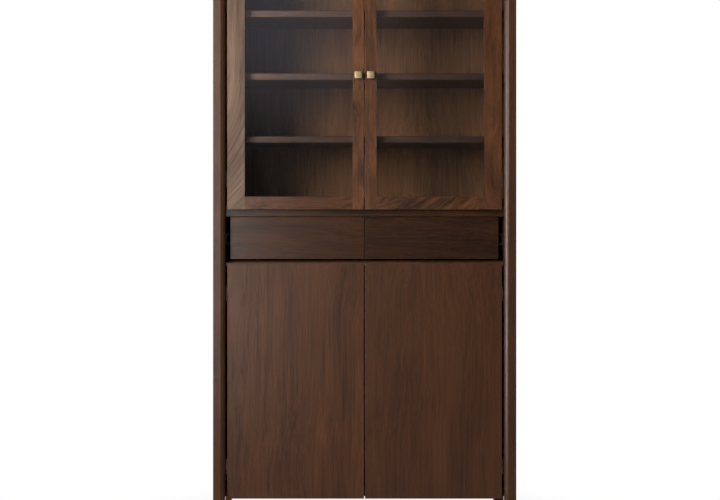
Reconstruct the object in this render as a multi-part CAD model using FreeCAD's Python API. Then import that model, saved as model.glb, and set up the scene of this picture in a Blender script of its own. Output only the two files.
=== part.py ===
import FreeCAD
import Part
import os

# A walnut cabinet with glass doors, two drawers and two plain doors.
# Sizes are in millimetres. The origin is on the floor under the middle of the case,
# with X to the right, Y to the back and Z up.

# Case
case_width = 900.0
case_depth = 400.0
post_width = 35.0
post_depth = 45.0
post_chamfer = 13.0
top_thickness = 35.0
board_thickness = 20.0
side_panel_thickness = 22.0
side_rail_height = 60.0
back_thickness = 6.0
back_inset = 14.0
back_groove_depth = 8.0
edge_ease = 0.8
glide_diameter = 24.0
glide_height = 3.0

# Heights, stacked from the floor up
leg_clearance = 100.0
lower_door_height = 700.0
drawer_band_height = 161.0
glass_door_height = 800.0
door_top_gap = 4.0
base_rise = 4.0
drawer_floor_reveal = 9.0
drawer_bottom_gap = 4.0
drawer_top_gap = 1.0
drawer_rail_reveal = 21.0
drawer_rail_depth = 20.0
display_floor_rise = 32.0

# Doors
door_setback = 18.0
door_thickness = 20.0
door_side_gap = 6.0
door_meeting_gap = 3.0
door_back_gap = 3.0
hinge_stile_width = 52.0
meeting_stile_width = 34.0
door_rail_height = 38.5
tenon_length = 22.0
tenon_thickness = 7.0
tenon_margin = 5.0
rebate_width = 8.0
glass_thickness = 4.0
bead_thickness = 5.0
pane_clearance = 0.3
finger_bevel_depth = 12.0
finger_bevel_height = 15.0
knob_size = 22.0
knob_projection = 18.0
knob_stem_diameter = 10.0
knob_stem_length = 5.0
knob_ease = 1.2

# Concealed hinges: a cup let into the door and an arm on the side panel
hinge_inset = 90.0
pivot_from_edge = 7.0
pivot_from_face = 9.5
cup_diameter = 35.0
cup_from_edge = 3.0
cup_floor = 0.8
cup_rim = 0.8
cup_flange_overlap = 1.5
cup_flange_thickness = 0.8
cup_ear_width = 12.0
cup_ear_length = 54.0
pin_diameter = 3.0
pin_length = 16.0
pin_clearance = 0.05
eye_wall = 1.0
arm_thickness = 2.5
arm_width = 9.4
arm_clearance = 0.4
arm_reach = 17.5
arm_swing_clearance = 3.5
arm_length = 34.0
plate_thickness = 3.0
plate_length = 26.0
plate_width = 16.0
plate_wing_length = 12.0
plate_wing_span = 44.0

# Shelves and their supports
shelf_count = 3
shelf_pitch = 188.5
shelf_thickness = 20.0
shelf_setback = 20.0
shelf_rear_gap = 2.0
shelf_end_gap = 1.5
shelf_edge_ease = 1.5
cupboard_shelf_height = 452.0
support_inset = 50.0
support_reach = 12.0
support_width = 12.0
support_height = 16.0
support_thickness = 2.0
support_bevel = 4.0

# Drawers and their slides
drawer_side_gap = 14.0
drawer_meeting_gap = 1.6
drawer_front_gap = 2.0
drawer_front_thickness = 20.0
drawer_undercut = 12.0
drawer_lip = 5.0
floor_scoop_depth = 16.0
floor_scoop_height = 6.0
drawer_wall = 12.0
drawer_box_height = 95.0
drawer_rear_gap = 29.0
drawer_housing_depth = 6.0
drawer_bottom_thickness = 6.0
drawer_bottom_lift = 8.0
drawer_groove_depth = 6.0
slide_front_gap = 14.0
slide_rear_gap = 1.0
slide_height = 35.0
slide_metal = 1.5
slide_flange = 9.0
slide_member_height = 24.0
slide_bearing_length = 70.0
slide_bearing_width = 6.0
slide_bearing_clearance = 0.3

# Magnetic catches
catch_width = 36.0
catch_depth = 14.0
catch_height = 12.0
catch_gap = 0.5

# Places that follow from the sizes
half_width = case_width / 2
side_face = half_width - post_width
front = -case_depth / 2
rear = case_depth / 2
post_back = front + post_depth
rear_post_front = rear - post_depth
back_face = rear - back_inset - back_thickness

lower_door_top = leg_clearance + lower_door_height
glass_door_bottom = lower_door_top + drawer_band_height
glass_door_top = glass_door_bottom + glass_door_height
top_underside = glass_door_top + door_top_gap
case_top = top_underside + top_thickness

door_front = front + door_setback
door_back = door_front + door_thickness
door_edge = side_face - door_side_gap
door_meeting_edge = door_meeting_gap / 2
board_front = door_back + door_back_gap

base_bottom = leg_clearance + base_rise
base_top = base_bottom + board_thickness
drawer_floor_top = lower_door_top + drawer_floor_reveal
display_floor_top = glass_door_bottom + display_floor_rise
display_floor_bottom = display_floor_top - board_thickness
drawer_front_bottom = drawer_floor_top + drawer_bottom_gap
drawer_rail_bottom = glass_door_bottom - drawer_rail_reveal
drawer_front_top = drawer_rail_bottom - drawer_top_gap

sight_outer = door_edge - hinge_stile_width
sight_inner = door_meeting_edge + meeting_stile_width
sight_bottom = glass_door_bottom + door_rail_height
sight_top = glass_door_top - door_rail_height
pane_back = door_back - bead_thickness
pane_front = pane_back - glass_thickness

pivot_x = door_edge - pivot_from_edge
pivot_y = door_front + pivot_from_face
cup_centre_x = door_edge - cup_from_edge - cup_diameter / 2
eye_radius = pin_diameter / 2 + pin_clearance + eye_wall
cup_bottom = pivot_y - eye_radius - arm_clearance - cup_floor

shelf_front = board_front + shelf_setback
shelf_rear = back_face - shelf_rear_gap
shelf_half = side_face - shelf_end_gap
support_rows = [shelf_front + support_inset, shelf_rear - support_inset]
display_shelf_bottoms = [
    display_floor_top + (step + 1) * shelf_pitch - shelf_thickness for step in range(shelf_count)
]
shelf_bottoms = display_shelf_bottoms + [cupboard_shelf_height]

partition_half = board_thickness / 2
drawer_outer = side_face - drawer_side_gap
drawer_inner = partition_half + drawer_side_gap
drawer_meeting_edge = drawer_meeting_gap / 2
drawer_front_back = board_front + drawer_front_thickness
drawer_box_front = drawer_front_back - drawer_housing_depth
drawer_box_rear = back_face - drawer_rear_gap
drawer_box_bottom = drawer_front_bottom + drawer_undercut
drawer_box_top = drawer_box_bottom + drawer_box_height
drawer_bottom_low = drawer_box_bottom + drawer_bottom_lift
drawer_bottom_high = drawer_bottom_low + drawer_bottom_thickness
slide_front = drawer_front_back + slide_front_gap
slide_rear = drawer_box_rear - slide_rear_gap
slide_middle = (drawer_box_bottom + drawer_box_top) / 2

margin = 10.0


def point(x, y, z):
    """A place in the case."""
    return FreeCAD.Vector(x, y, z)


def block(x_range, y_range, z_range):
    """A box between two places on each axis, given in either order."""
    low = point(min(x_range), min(y_range), min(z_range))
    high = point(max(x_range), max(y_range), max(z_range))
    size = high - low
    return Part.makeBox(size.x, size.y, size.z, low)


def prism(corners, travel):
    """A closed outline pushed along a straight travel."""
    outline = Part.makePolygon(corners + corners[:1])
    return Part.Face(outline).extrude(travel)


def upright_disc(x, y, z_range, radius):
    """A round bar standing along Z."""
    return Part.makeCylinder(radius, z_range[1] - z_range[0], point(x, y, z_range[0]))


def facing_disc(x, z, y_range, radius):
    """A round bar lying along Y."""
    length = y_range[1] - y_range[0]
    return Part.makeCylinder(radius, length, point(x, y_range[0], z), point(0, 1, 0))


def mirrored(shape):
    """The same shape on the other side of the middle plane."""
    return shape.mirror(point(0, 0, 0), point(1, 0, 0))


def group(solids):
    """Several separate solids kept together."""
    return Part.makeCompound(solids)


def with_mirror(solids):
    """Right-hand solids and their left-hand twins, kept together."""
    return group(solids + [mirrored(solid) for solid in solids])


def eased(solid, size, front_face):
    """The solid with a small chamfer around its front face."""
    edges = []
    for edge in solid.Edges:
        if all(abs(vertex.Y - front_face) < edge_ease / 10 for vertex in edge.Vertexes):
            edges.append(edge)
    return solid.makeChamfer(size, edges)


# Frame: posts, top, side frames

def above_mitre():
    """Everything over the 45 degree mitre where the right-hand side meets the top."""
    y = front - margin
    corners = [
        point(side_face, y, top_underside),
        point(half_width, y, case_top),
        point(half_width, y, case_top + margin),
        point(side_face - margin, y, case_top + margin),
        point(side_face - margin, y, top_underside),
    ]
    return prism(corners, point(0, case_depth + 2 * margin, 0))


def front_post():
    """The right front post, with its wide chamfer towards the doors."""
    z = glide_height
    corners = [
        point(side_face + post_chamfer, front, z),
        point(half_width - edge_ease, front, z),
        point(half_width, front + edge_ease, z),
        point(half_width, post_back, z),
        point(side_face, post_back, z),
        point(side_face, front + post_chamfer, z),
    ]
    return prism(corners, point(0, 0, case_top - z)).cut(above_mitre())


def rear_post():
    """The right rear post, grooved for the back panels."""
    z = glide_height
    corners = [
        point(side_face, rear_post_front, z),
        point(half_width, rear_post_front, z),
        point(half_width, rear - edge_ease, z),
        point(half_width - edge_ease, rear, z),
        point(side_face, rear, z),
    ]
    post = prism(corners, point(0, 0, case_top - z)).cut(above_mitre())
    groove = block(
        (side_face - margin, side_face + back_groove_depth),
        (back_face, back_face + back_thickness),
        (base_bottom, top_underside),
    )
    return post.cut(groove)


def top_board():
    """The thick top, mitred to both sides and chamfered under its front edge."""
    corners = [
        point(-half_width, front, case_top),
        point(half_width, front, case_top),
        point(side_face, front, top_underside),
        point(-side_face, front, top_underside),
    ]
    board = prism(corners, point(0, case_depth, 0))
    cuts = []
    for edge, way, size in ((top_underside, 1, post_chamfer), (case_top, -1, edge_ease)):
        corners = [
            point(-half_width, front, edge),
            point(-half_width, front + size, edge),
            point(-half_width, front, edge + way * size),
        ]
        cuts.append(prism(corners, point(case_width, 0, 0)))
    return board.cut(cuts)


def side_rails():
    """The right side's top rail, mitred under the top, and its bottom rail."""
    y_range = (post_back, rear_post_front)
    x_range = (side_face, half_width)
    top = block(x_range, y_range, (top_underside - side_rail_height, case_top)).cut(above_mitre())
    bottom = block(x_range, y_range, (base_bottom, base_bottom + side_rail_height))
    return group([top, bottom])


def side_panel():
    """The right side panel, flush with the posts inside and set back from them outside."""
    return block(
        (side_face, side_face + side_panel_thickness),
        (post_back, rear_post_front),
        (base_bottom + side_rail_height, top_underside - side_rail_height),
    )


def floor_glides():
    """A round glide under each post."""
    x = half_width - post_width / 2
    solids = []
    for y in (front + post_depth / 2, rear - post_depth / 2):
        solids.append(upright_disc(x, y, (0, glide_height), glide_diameter / 2))
    return with_mirror(solids)


# Inside boards, back and shelves

def plain_board(bottom):
    """A square-edged board between the sides, from behind the doors to the back panel."""
    return block((-side_face, side_face), (board_front, back_face), (bottom, bottom + board_thickness))


def case_board(bottom):
    """A fixed board between the sides, with its front edges eased."""
    return eased(plain_board(bottom), edge_ease, board_front)


def drawer_floor():
    """The board under the drawers, scooped along its front so that fingers reach under their lips."""
    scoop = prism(
        [
            point(-half_width, board_front, drawer_floor_top),
            point(-half_width, board_front, drawer_floor_top - floor_scoop_height),
            point(-half_width, board_front + floor_scoop_depth, drawer_floor_top),
        ],
        point(case_width, 0, 0),
    )
    board = plain_board(drawer_floor_top - board_thickness).cut(scoop)
    return eased(board, edge_ease, board_front)


def drawer_top_rail():
    """The front rail between the drawers and the display floor."""
    y_range = (board_front, board_front + drawer_rail_depth)
    rail = block((-side_face, side_face), y_range, (drawer_rail_bottom, display_floor_bottom))
    return eased(rail, edge_ease, board_front)


def drawer_partition():
    """The upright between the two drawer boxes, behind the drawer fronts."""
    partition = block(
        (-partition_half, partition_half),
        (drawer_front_back + drawer_front_gap, back_face),
        (drawer_floor_top, display_floor_bottom),
    )
    y_range = (board_front - margin, board_front + drawer_rail_depth)
    notch = block((-side_face, side_face), y_range, (drawer_rail_bottom, display_floor_bottom))
    return partition.cut(notch)


def back_panel(bottom, top):
    """A thin back panel held in the grooves of the rear posts."""
    half = side_face + back_groove_depth
    return block((-half, half), (back_face, back_face + back_thickness), (bottom, top))


def shelf(bottom):
    """A loose shelf, set back behind the doors."""
    z_range = (bottom, bottom + shelf_thickness)
    board = block((-shelf_half, shelf_half), (shelf_front, shelf_rear), z_range)
    return eased(board, shelf_edge_ease, shelf_front)


def shelf_support(y, bottom):
    """A bent angle under a shelf's right end, flat against the side panel."""
    start = y - support_width / 2
    leg_face = side_face - support_thickness
    tip = side_face - support_reach
    ledge = bottom - support_thickness
    corners = [
        point(side_face, start, bottom),
        point(tip, start, bottom),
        point(tip, start, ledge),
        point(leg_face - support_bevel, start, ledge),
        point(leg_face, start, ledge - support_bevel),
        point(leg_face, start, bottom - support_height),
        point(side_face, start, bottom - support_height),
    ]
    return prism(corners, point(0, support_width, 0))


def shelf_supports():
    """Four supports under every shelf."""
    solids = [shelf_support(y, bottom) for bottom in shelf_bottoms for y in support_rows]
    return with_mirror(solids)


def magnetic_catches():
    """One double catch under the top and one on the base, where the doors meet."""
    x_range = (-catch_width / 2, catch_width / 2)
    y_range = (door_back + catch_gap, door_back + catch_gap + catch_depth)
    upper = block(x_range, y_range, (top_underside - catch_height, top_underside))
    lower = block(x_range, y_range, (base_top, base_top + catch_height))
    return group([upper, lower])


# Hinges

def hinge_heights(door_bottom, door_height):
    """The heights of a door's two hinges."""
    return [door_bottom + hinge_inset, door_bottom + door_height - hinge_inset]


lower_hinges = hinge_heights(leg_clearance, lower_door_height)
glass_hinges = hinge_heights(glass_door_bottom, glass_door_height)


def hinge_place(inward, backward, z):
    """A place beside the right-hand pivot: inward to the middle, backward into the case."""
    return point(pivot_x - inward, pivot_y + backward, z)


def cup_pocket(z):
    """The round recess in a door's back that takes a hinge cup."""
    return facing_disc(cup_centre_x, z, (cup_bottom, door_back + margin), cup_diameter / 2)


def hinge_pin(z):
    """The pin across a cup."""
    return upright_disc(pivot_x, pivot_y, (z - pin_length / 2, z + pin_length / 2), pin_diameter / 2)


def hinge_cup(z):
    """A cup with a screw flange, slotted for the arm and drilled for the pin."""
    flange_back = door_back + cup_flange_thickness
    cup = facing_disc(cup_centre_x, z, (cup_bottom, flange_back), cup_diameter / 2)
    rim = facing_disc(cup_centre_x, z, (door_back, flange_back), cup_diameter / 2 + cup_flange_overlap)
    ears = block(
        (cup_centre_x - cup_ear_width / 2, cup_centre_x + cup_ear_width / 2),
        (door_back, flange_back),
        (z - cup_ear_length / 2, z + cup_ear_length / 2),
    )
    half_slot = arm_width / 2 + arm_clearance
    slot = block(
        (cup_centre_x + cup_diameter / 2 - cup_rim, pivot_x - arm_reach - arm_thickness),
        (cup_bottom + cup_floor, flange_back + margin),
        (z - half_slot, z + half_slot),
    )
    return cup.fuse([rim, ears]).removeSplitter().cut([slot, hinge_pin(z)])


def hinge_arm(z):
    """A cranked strip from the eye on the pin, out of the cup, to the mounting plate."""
    low = z - arm_width / 2
    base = plate_thickness - door_side_gap - pivot_from_edge
    back_corner = door_thickness - pivot_from_face
    bridge = back_corner + arm_swing_clearance
    outline = [
        (0, -eye_radius),
        (arm_reach, -eye_radius),
        (arm_reach, bridge + arm_thickness),
        (base + arm_thickness, bridge + arm_thickness),
        (base + arm_thickness, bridge + arm_thickness + arm_length),
        (base, bridge + arm_thickness + arm_length),
        (base, bridge),
        (arm_reach - arm_thickness, bridge),
        (arm_reach - arm_thickness, arm_thickness - eye_radius),
        (0, arm_thickness - eye_radius),
    ]
    corners = [hinge_place(inward, backward, low) for inward, backward in outline]
    strip = prism(corners, point(0, 0, arm_width))
    z_range = (low, low + arm_width)
    eye = upright_disc(pivot_x, pivot_y, z_range, eye_radius)
    bore = upright_disc(pivot_x, pivot_y, z_range, pin_diameter / 2 + pin_clearance)
    return strip.fuse(eye).removeSplitter().cut(bore)


def mounting_plate(z):
    """The cross-shaped plate that carries a hinge arm on the side panel."""
    x_range = (side_face - plate_thickness, side_face)
    tail = pivot_y + door_thickness - pivot_from_face + arm_swing_clearance + arm_thickness + arm_length
    middle = tail - plate_length / 2 - arm_thickness
    body = block(
        x_range,
        (middle - plate_length / 2, middle + plate_length / 2),
        (z - plate_width / 2, z + plate_width / 2),
    )
    wings = block(
        x_range,
        (middle - plate_wing_length / 2, middle + plate_wing_length / 2),
        (z - plate_wing_span / 2, z + plate_wing_span / 2),
    )
    return body.fuse(wings).removeSplitter()


# Glass doors

def door_envelope():
    """The right-hand glass door's outer form, eased around its front face."""
    x_range = (door_meeting_edge, door_edge)
    form = block(x_range, (door_front, door_back), (glass_door_bottom, glass_door_top))
    return eased(form, edge_ease, door_front)


def glass_rebate():
    """The recess behind the sight opening that takes the pane and its beads."""
    return block(
        (sight_inner - rebate_width, sight_outer + rebate_width),
        (pane_front, door_back + margin),
        (sight_bottom - rebate_width, sight_top + rebate_width),
    )


def door_stile(x_range, rails, envelope):
    """An upright of the door frame, mortised for the rails."""
    y_range = (door_front, door_back)
    stile = block(x_range, y_range, (glass_door_bottom, glass_door_top)).common(envelope)
    return stile.cut(rails + [glass_rebate()])


def door_rail(bottom, tenon_bottom, envelope):
    """A crosspiece of the door frame, with a tenon at each end."""
    y_range = (door_front, door_back)
    z_range = (bottom, bottom + door_rail_height)
    rail = block((sight_inner, sight_outer), y_range, z_range).common(envelope)
    middle = (door_front + door_back) / 2
    tenon_height = door_rail_height - rebate_width - 2 * tenon_margin
    tenons = block(
        (sight_inner - tenon_length, sight_outer + tenon_length),
        (middle - tenon_thickness / 2, middle + tenon_thickness / 2),
        (tenon_bottom, tenon_bottom + tenon_height),
    )
    return rail.cut(glass_rebate()).fuse(tenons).removeSplitter()


def glass_pane():
    """The pane, lying in the rebate against the front of the frame."""
    reach = rebate_width - pane_clearance
    return block(
        (sight_inner - reach, sight_outer + reach),
        (pane_front, pane_back),
        (sight_bottom - reach, sight_top + reach),
    )


def glazing_beads():
    """Four mitred beads that hold the pane from behind."""
    outer_x = (sight_inner - rebate_width, sight_outer + rebate_width)
    outer_z = (sight_bottom - rebate_width, sight_top + rebate_width)
    inner = [
        point(sight_inner, pane_back, sight_bottom),
        point(sight_outer, pane_back, sight_bottom),
        point(sight_outer, pane_back, sight_top),
        point(sight_inner, pane_back, sight_top),
    ]
    outer = [
        point(outer_x[0], pane_back, outer_z[0]),
        point(outer_x[1], pane_back, outer_z[0]),
        point(outer_x[1], pane_back, outer_z[1]),
        point(outer_x[0], pane_back, outer_z[1]),
    ]
    beads = []
    for corner in range(4):
        following = (corner + 1) % 4
        trapezium = [inner[corner], inner[following], outer[following], outer[corner]]
        beads.append(prism(trapezium, point(0, bead_thickness, 0)))
    return group(beads)


def knob():
    """A square brass head on a round stem, in the middle of the meeting stile."""
    x = door_meeting_edge + meeting_stile_width / 2
    z = (glass_door_bottom + glass_door_top) / 2
    half = knob_size / 2
    head_back = door_front - knob_stem_length
    head_front = door_front - knob_projection
    head = block((x - half, x + half), (head_front, head_back), (z - half, z + half))
    head = head.makeChamfer(knob_ease, head.Edges)
    stem = facing_disc(x, z, (head_back, door_front), knob_stem_diameter / 2)
    return head.fuse(stem).removeSplitter()


def glass_door():
    """The pieces of the right-hand glass door by name."""
    envelope = door_envelope()
    bottom_rail = door_rail(glass_door_bottom, glass_door_bottom + tenon_margin, envelope)
    top_tenon = sight_top + rebate_width + tenon_margin
    top_rail = door_rail(sight_top, top_tenon, envelope)
    rails = [bottom_rail, top_rail]
    hinge_stile = door_stile((sight_outer, door_edge), rails, envelope)
    meeting_stile = door_stile((door_meeting_edge, sight_inner), rails, envelope)
    return {
        "hinge_stile": hinge_stile.cut([cup_pocket(z) for z in glass_hinges]),
        "meeting_stile": meeting_stile,
        "bottom_rail": bottom_rail,
        "top_rail": top_rail,
        "glass_pane": glass_pane(),
        "glazing_beads": glazing_beads(),
        "knob": knob(),
        "hinge_cups": group([hinge_cup(z) for z in glass_hinges]),
        "hinge_pins": group([hinge_pin(z) for z in glass_hinges]),
    }


# Lower doors

def lower_door():
    """The pieces of the right-hand lower door by name."""
    x_range = (door_meeting_edge, door_edge)
    slab = block(x_range, (door_front, door_back), (leg_clearance, lower_door_top))
    slab = eased(slab, edge_ease, door_front)
    finger_bevel = prism(
        [
            point(0, door_back, lower_door_top),
            point(0, door_back - finger_bevel_depth, lower_door_top),
            point(0, door_back, lower_door_top - finger_bevel_height),
        ],
        point(half_width, 0, 0),
    )
    return {
        "panel": slab.cut([finger_bevel] + [cup_pocket(z) for z in lower_hinges]),
        "hinge_cups": group([hinge_cup(z) for z in lower_hinges]),
        "hinge_pins": group([hinge_pin(z) for z in lower_hinges]),
    }


# Drawers

def drawer_side(x_range):
    """A drawer side, housed in the front and grooved for the bottom."""
    y_range = (drawer_box_front, drawer_box_rear)
    return block(x_range, y_range, (drawer_box_bottom, drawer_box_top))


def drawer_bottom():
    """The thin bottom, in grooves around the box and under the back."""
    x_range = (
        drawer_inner + drawer_wall - drawer_groove_depth,
        drawer_outer - drawer_wall + drawer_groove_depth,
    )
    return block(x_range, (drawer_box_front, drawer_box_rear), (drawer_bottom_low, drawer_bottom_high))


def drawer_front(housed):
    """The front, undercut along its lower edge as a finger pull."""
    x_range = (drawer_meeting_edge, drawer_outer)
    z_range = (drawer_front_bottom, drawer_front_top)
    board = eased(block(x_range, (board_front, drawer_front_back), z_range), edge_ease, board_front)
    undercut = prism(
        [
            point(0, board_front + drawer_lip, drawer_front_bottom),
            point(0, drawer_front_back, drawer_front_bottom),
            point(0, drawer_front_back, drawer_front_bottom + drawer_undercut),
        ],
        point(half_width, 0, 0),
    )
    return board.cut([undercut] + housed)


def slide_channel(wall, toward):
    """A slide's fixed channel on an upright wall, its flanges turned toward the drawer."""
    y_range = (slide_front, slide_rear)
    half = slide_height / 2
    outer = block((wall, wall + toward * slide_flange), y_range, (slide_middle - half, slide_middle + half))
    hollow = block(
        (wall + toward * slide_metal, wall + toward * (slide_flange + margin)),
        (slide_front - margin, slide_rear + margin),
        (slide_middle - half + slide_metal, slide_middle + half - slide_metal),
    )
    return outer.cut(hollow)


def slide_member(wall, toward):
    """A slide's moving channel on a drawer side, with a bearing strip over and under its rear end."""
    y_range = (slide_front, slide_rear)
    half = slide_member_height / 2
    outer = block((wall, wall + toward * slide_flange), y_range, (slide_middle - half, slide_middle + half))
    hollow = block(
        (wall + toward * slide_metal, wall + toward * (slide_flange + margin)),
        (slide_front - margin, slide_rear + margin),
        (slide_middle - half + slide_metal, slide_middle + half - slide_metal),
    )
    tip = wall + toward * slide_flange
    reach = slide_height / 2 - slide_metal - slide_bearing_clearance
    solids = [outer.cut(hollow)]
    for way in (1, -1):
        solids.append(block(
            (tip - toward * slide_bearing_width, tip),
            (slide_rear - slide_bearing_length, slide_rear),
            (slide_middle + way * half, slide_middle + way * reach),
        ))
    return solids


def drawer():
    """The pieces of the right-hand drawer by name."""
    sides = [
        drawer_side((drawer_inner, drawer_inner + drawer_wall)),
        drawer_side((drawer_outer - drawer_wall, drawer_outer)),
    ]
    bottom = drawer_bottom()
    back = block(
        (drawer_inner + drawer_wall, drawer_outer - drawer_wall),
        (drawer_box_rear - drawer_wall, drawer_box_rear),
        (drawer_bottom_high, drawer_box_top),
    )
    slides = slide_member(drawer_outer, 1) + slide_member(drawer_inner, -1)
    return {
        "front": drawer_front(sides + [bottom]),
        "box": group([side.cut(bottom) for side in sides] + [back]),
        "bottom": bottom,
        "slides": group(slides),
    }


# Everything by name

def both_sides(pattern, right_hand):
    """A right-hand piece and its mirrored left-hand twin, under their own names."""
    return {pattern.format("right"): right_hand, pattern.format("left"): mirrored(right_hand)}


def cabinet():
    """Every piece of the cabinet by name."""
    arms = [hinge_arm(z) for z in lower_hinges + glass_hinges]
    plates = [mounting_plate(z) for z in lower_hinges + glass_hinges]
    channels = [slide_channel(side_face, -1), slide_channel(partition_half, 1)]
    back_joint = (display_floor_bottom + display_floor_top) / 2
    pieces = {
        "top_board": top_board(),
        "base_panel": case_board(base_bottom),
        "drawer_floor": drawer_floor(),
        "display_floor": case_board(display_floor_bottom),
        "drawer_top_rail": drawer_top_rail(),
        "drawer_partition": drawer_partition(),
        "back_panel_lower": back_panel(base_bottom, back_joint),
        "back_panel_upper": back_panel(back_joint, top_underside),
        "cupboard_shelf": shelf(cupboard_shelf_height),
        "shelf_supports": shelf_supports(),
        "floor_glides": floor_glides(),
        "hinge_arms": with_mirror(arms),
        "hinge_mounting_plates": with_mirror(plates),
        "drawer_slide_channels": with_mirror(channels),
        "magnetic_catches": magnetic_catches(),
    }
    for step, bottom in enumerate(display_shelf_bottoms):
        pieces["display_shelf_{}".format(step + 1)] = shelf(bottom)
    pieces.update(both_sides("front_post_{}", front_post()))
    pieces.update(both_sides("rear_post_{}", rear_post()))
    pieces.update(both_sides("side_rails_{}", side_rails()))
    pieces.update(both_sides("side_panel_{}", side_panel()))
    for name, piece in glass_door().items():
        pieces.update(both_sides("glass_door_{}_" + name, piece))
    for name, piece in lower_door().items():
        pieces.update(both_sides("lower_door_{}_" + name, piece))
    for name, piece in drawer().items():
        pieces.update(both_sides("drawer_{}_" + name, piece))
    return pieces


os.makedirs("parts", exist_ok=True)
for name, piece in cabinet().items():
    piece.exportStep("parts/{}.step".format(name))
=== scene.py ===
# %% [markdown]
# A glass-front cabinet in walnut: two framed glass doors above, two drawers, and two plain doors below. Its
# solids come from the imported model, already at their real size and place, and could be rendered as they
# are. This lesson adds what solids can't hold: wood figure, glass, brass, light, and the small turned and
# pressed pieces that a cabinet maker screws on at the end.

# %% Load the cabinet
import math

import bpy
from mathutils import Color, Matrix, Vector


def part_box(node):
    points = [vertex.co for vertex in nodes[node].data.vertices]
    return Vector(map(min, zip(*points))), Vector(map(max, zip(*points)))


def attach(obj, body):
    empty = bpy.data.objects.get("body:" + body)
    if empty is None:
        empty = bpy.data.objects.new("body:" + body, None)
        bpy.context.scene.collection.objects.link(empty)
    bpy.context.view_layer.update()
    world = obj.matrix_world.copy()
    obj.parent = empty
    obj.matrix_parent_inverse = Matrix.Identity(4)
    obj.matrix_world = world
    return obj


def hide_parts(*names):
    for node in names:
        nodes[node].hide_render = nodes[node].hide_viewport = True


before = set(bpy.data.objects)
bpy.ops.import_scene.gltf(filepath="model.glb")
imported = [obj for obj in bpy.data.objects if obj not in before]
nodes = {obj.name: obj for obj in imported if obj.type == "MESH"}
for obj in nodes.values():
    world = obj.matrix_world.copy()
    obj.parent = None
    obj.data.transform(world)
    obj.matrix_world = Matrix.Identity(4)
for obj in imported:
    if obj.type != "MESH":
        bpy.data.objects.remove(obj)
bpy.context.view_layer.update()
MM = 0.001

# %% [markdown]
# The photograph looks almost straight at the front, from a little left of the middle and about waist high.
# A camera aimed at its middle would make upright lines lean together, and here they stay upright. So the
# camera is level, and its picture is shifted, by the distance from the vanishing point of the shelves to
# the middle of the picture.

# %% Camera
IMAGE_WIDTH = 720
IMAGE_HEIGHT = 500
FOCAL_PIXELS = 1820
VANISHING_X = 334.0
VANISHING_Y = 230.0
EYE = Vector((-0.091, -5.6, 0.9))
SENSOR_WIDTH = 36

camera_data = bpy.data.cameras.new("photo_camera")
camera_data.sensor_width = SENSOR_WIDTH
camera_data.lens = FOCAL_PIXELS / IMAGE_WIDTH * SENSOR_WIDTH
camera_data.shift_x = (IMAGE_WIDTH / 2 - VANISHING_X) / IMAGE_WIDTH
camera_data.shift_y = (VANISHING_Y - IMAGE_HEIGHT / 2) / IMAGE_WIDTH
camera = bpy.data.objects.new("photo_camera", camera_data)
camera.location = EYE
camera.rotation_euler = (math.radians(90), 0, 0)
bpy.context.scene.collection.objects.link(camera)
bpy.context.scene.camera = camera
bpy.context.scene.view_settings.view_transform = "Standard"
print("lens", round(camera_data.lens, 2), "shift", round(camera_data.shift_x, 4))

# %% [markdown]
# Every finish below is a tree of nodes. It could be drawn by hand in the shader editor, but written down it
# can be read, repeated and changed in one place. These helpers place a node and feed its sockets: a socket
# that is given another socket gets a link, and one that is given a number or a colour keeps it.

# %% Helpers that place nodes
def feed(tree, source, target):
    if hasattr(source, "is_output"):
        tree.links.new(source, target)
    else:
        target.default_value = source


def fill(tree, node, values):
    for name, value in values.items():
        feed(tree, value, node.inputs[name.replace("_", " ")])
    return node


def put(tree, kind, **values):
    return fill(tree, tree.nodes.new(kind), values)


print("helpers that place nodes are ready")

# %% [markdown]
# A pattern is mostly arithmetic on places and masks. Each of these helpers stands for one node, so that a
# line of code reads like the sum that it makes. A ramp is a smooth step from one value to another.

# %% Helpers for node arithmetic
COLOUR_INPUTS = (6, 7)
COLOUR_OUTPUT = 2


def sum_of(tree, operation, first, second=0.0, third=0.0):
    node = tree.nodes.new("ShaderNodeMath")
    node.operation = operation
    for socket, value in zip(node.inputs, (first, second, third)):
        feed(tree, value, socket)
    return node.outputs[0]


def vector_of(tree, operation, first, second=(0, 0, 0), outcome="Vector"):
    node = tree.nodes.new("ShaderNodeVectorMath")
    node.operation = operation
    feed(tree, first, node.inputs[0])
    feed(tree, second, node.inputs[1])
    return node.outputs[outcome]


def parts_of(tree, vector):
    return put(tree, "ShaderNodeSeparateXYZ", Vector=vector).outputs


def ramp_of(tree, value, low, high, low_result=0.0, high_result=1.0):
    node = tree.nodes.new("ShaderNodeMapRange")
    node.interpolation_type = "SMOOTHSTEP"
    for socket, item in zip(node.inputs, (value, low, high, low_result, high_result)):
        feed(tree, item, socket)
    return node.outputs[0]


def mix_of(tree, share, first, second):
    node = put(tree, "ShaderNodeMix", Factor=share)
    node.data_type = "RGBA"
    for number, shade in zip(COLOUR_INPUTS, (first, second)):
        feed(tree, shade, node.inputs[number])
    return node.outputs[COLOUR_OUTPUT]


print("helpers for node arithmetic are ready")

# %% [markdown]
# Colours are easiest to name as a screen shows them, from 0 to 255 in red, green and blue. Blender wants
# linear light, in which nobody could tell walnut from oak, so a helper undoes the curve that screens put on
# their values.

# %% Colours as a screen shows them
FULL = 255
WHITE = (1.0, 1.0, 1.0, 1.0)


def colour(red, green, blue):
    shown = Color((red / FULL, green / FULL, blue / FULL))
    return (*shown.from_srgb_to_scene_linear(), 1.0)


print("walnut brown in linear light:", [round(part, 4) for part in colour(82, 57, 43)])

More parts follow.
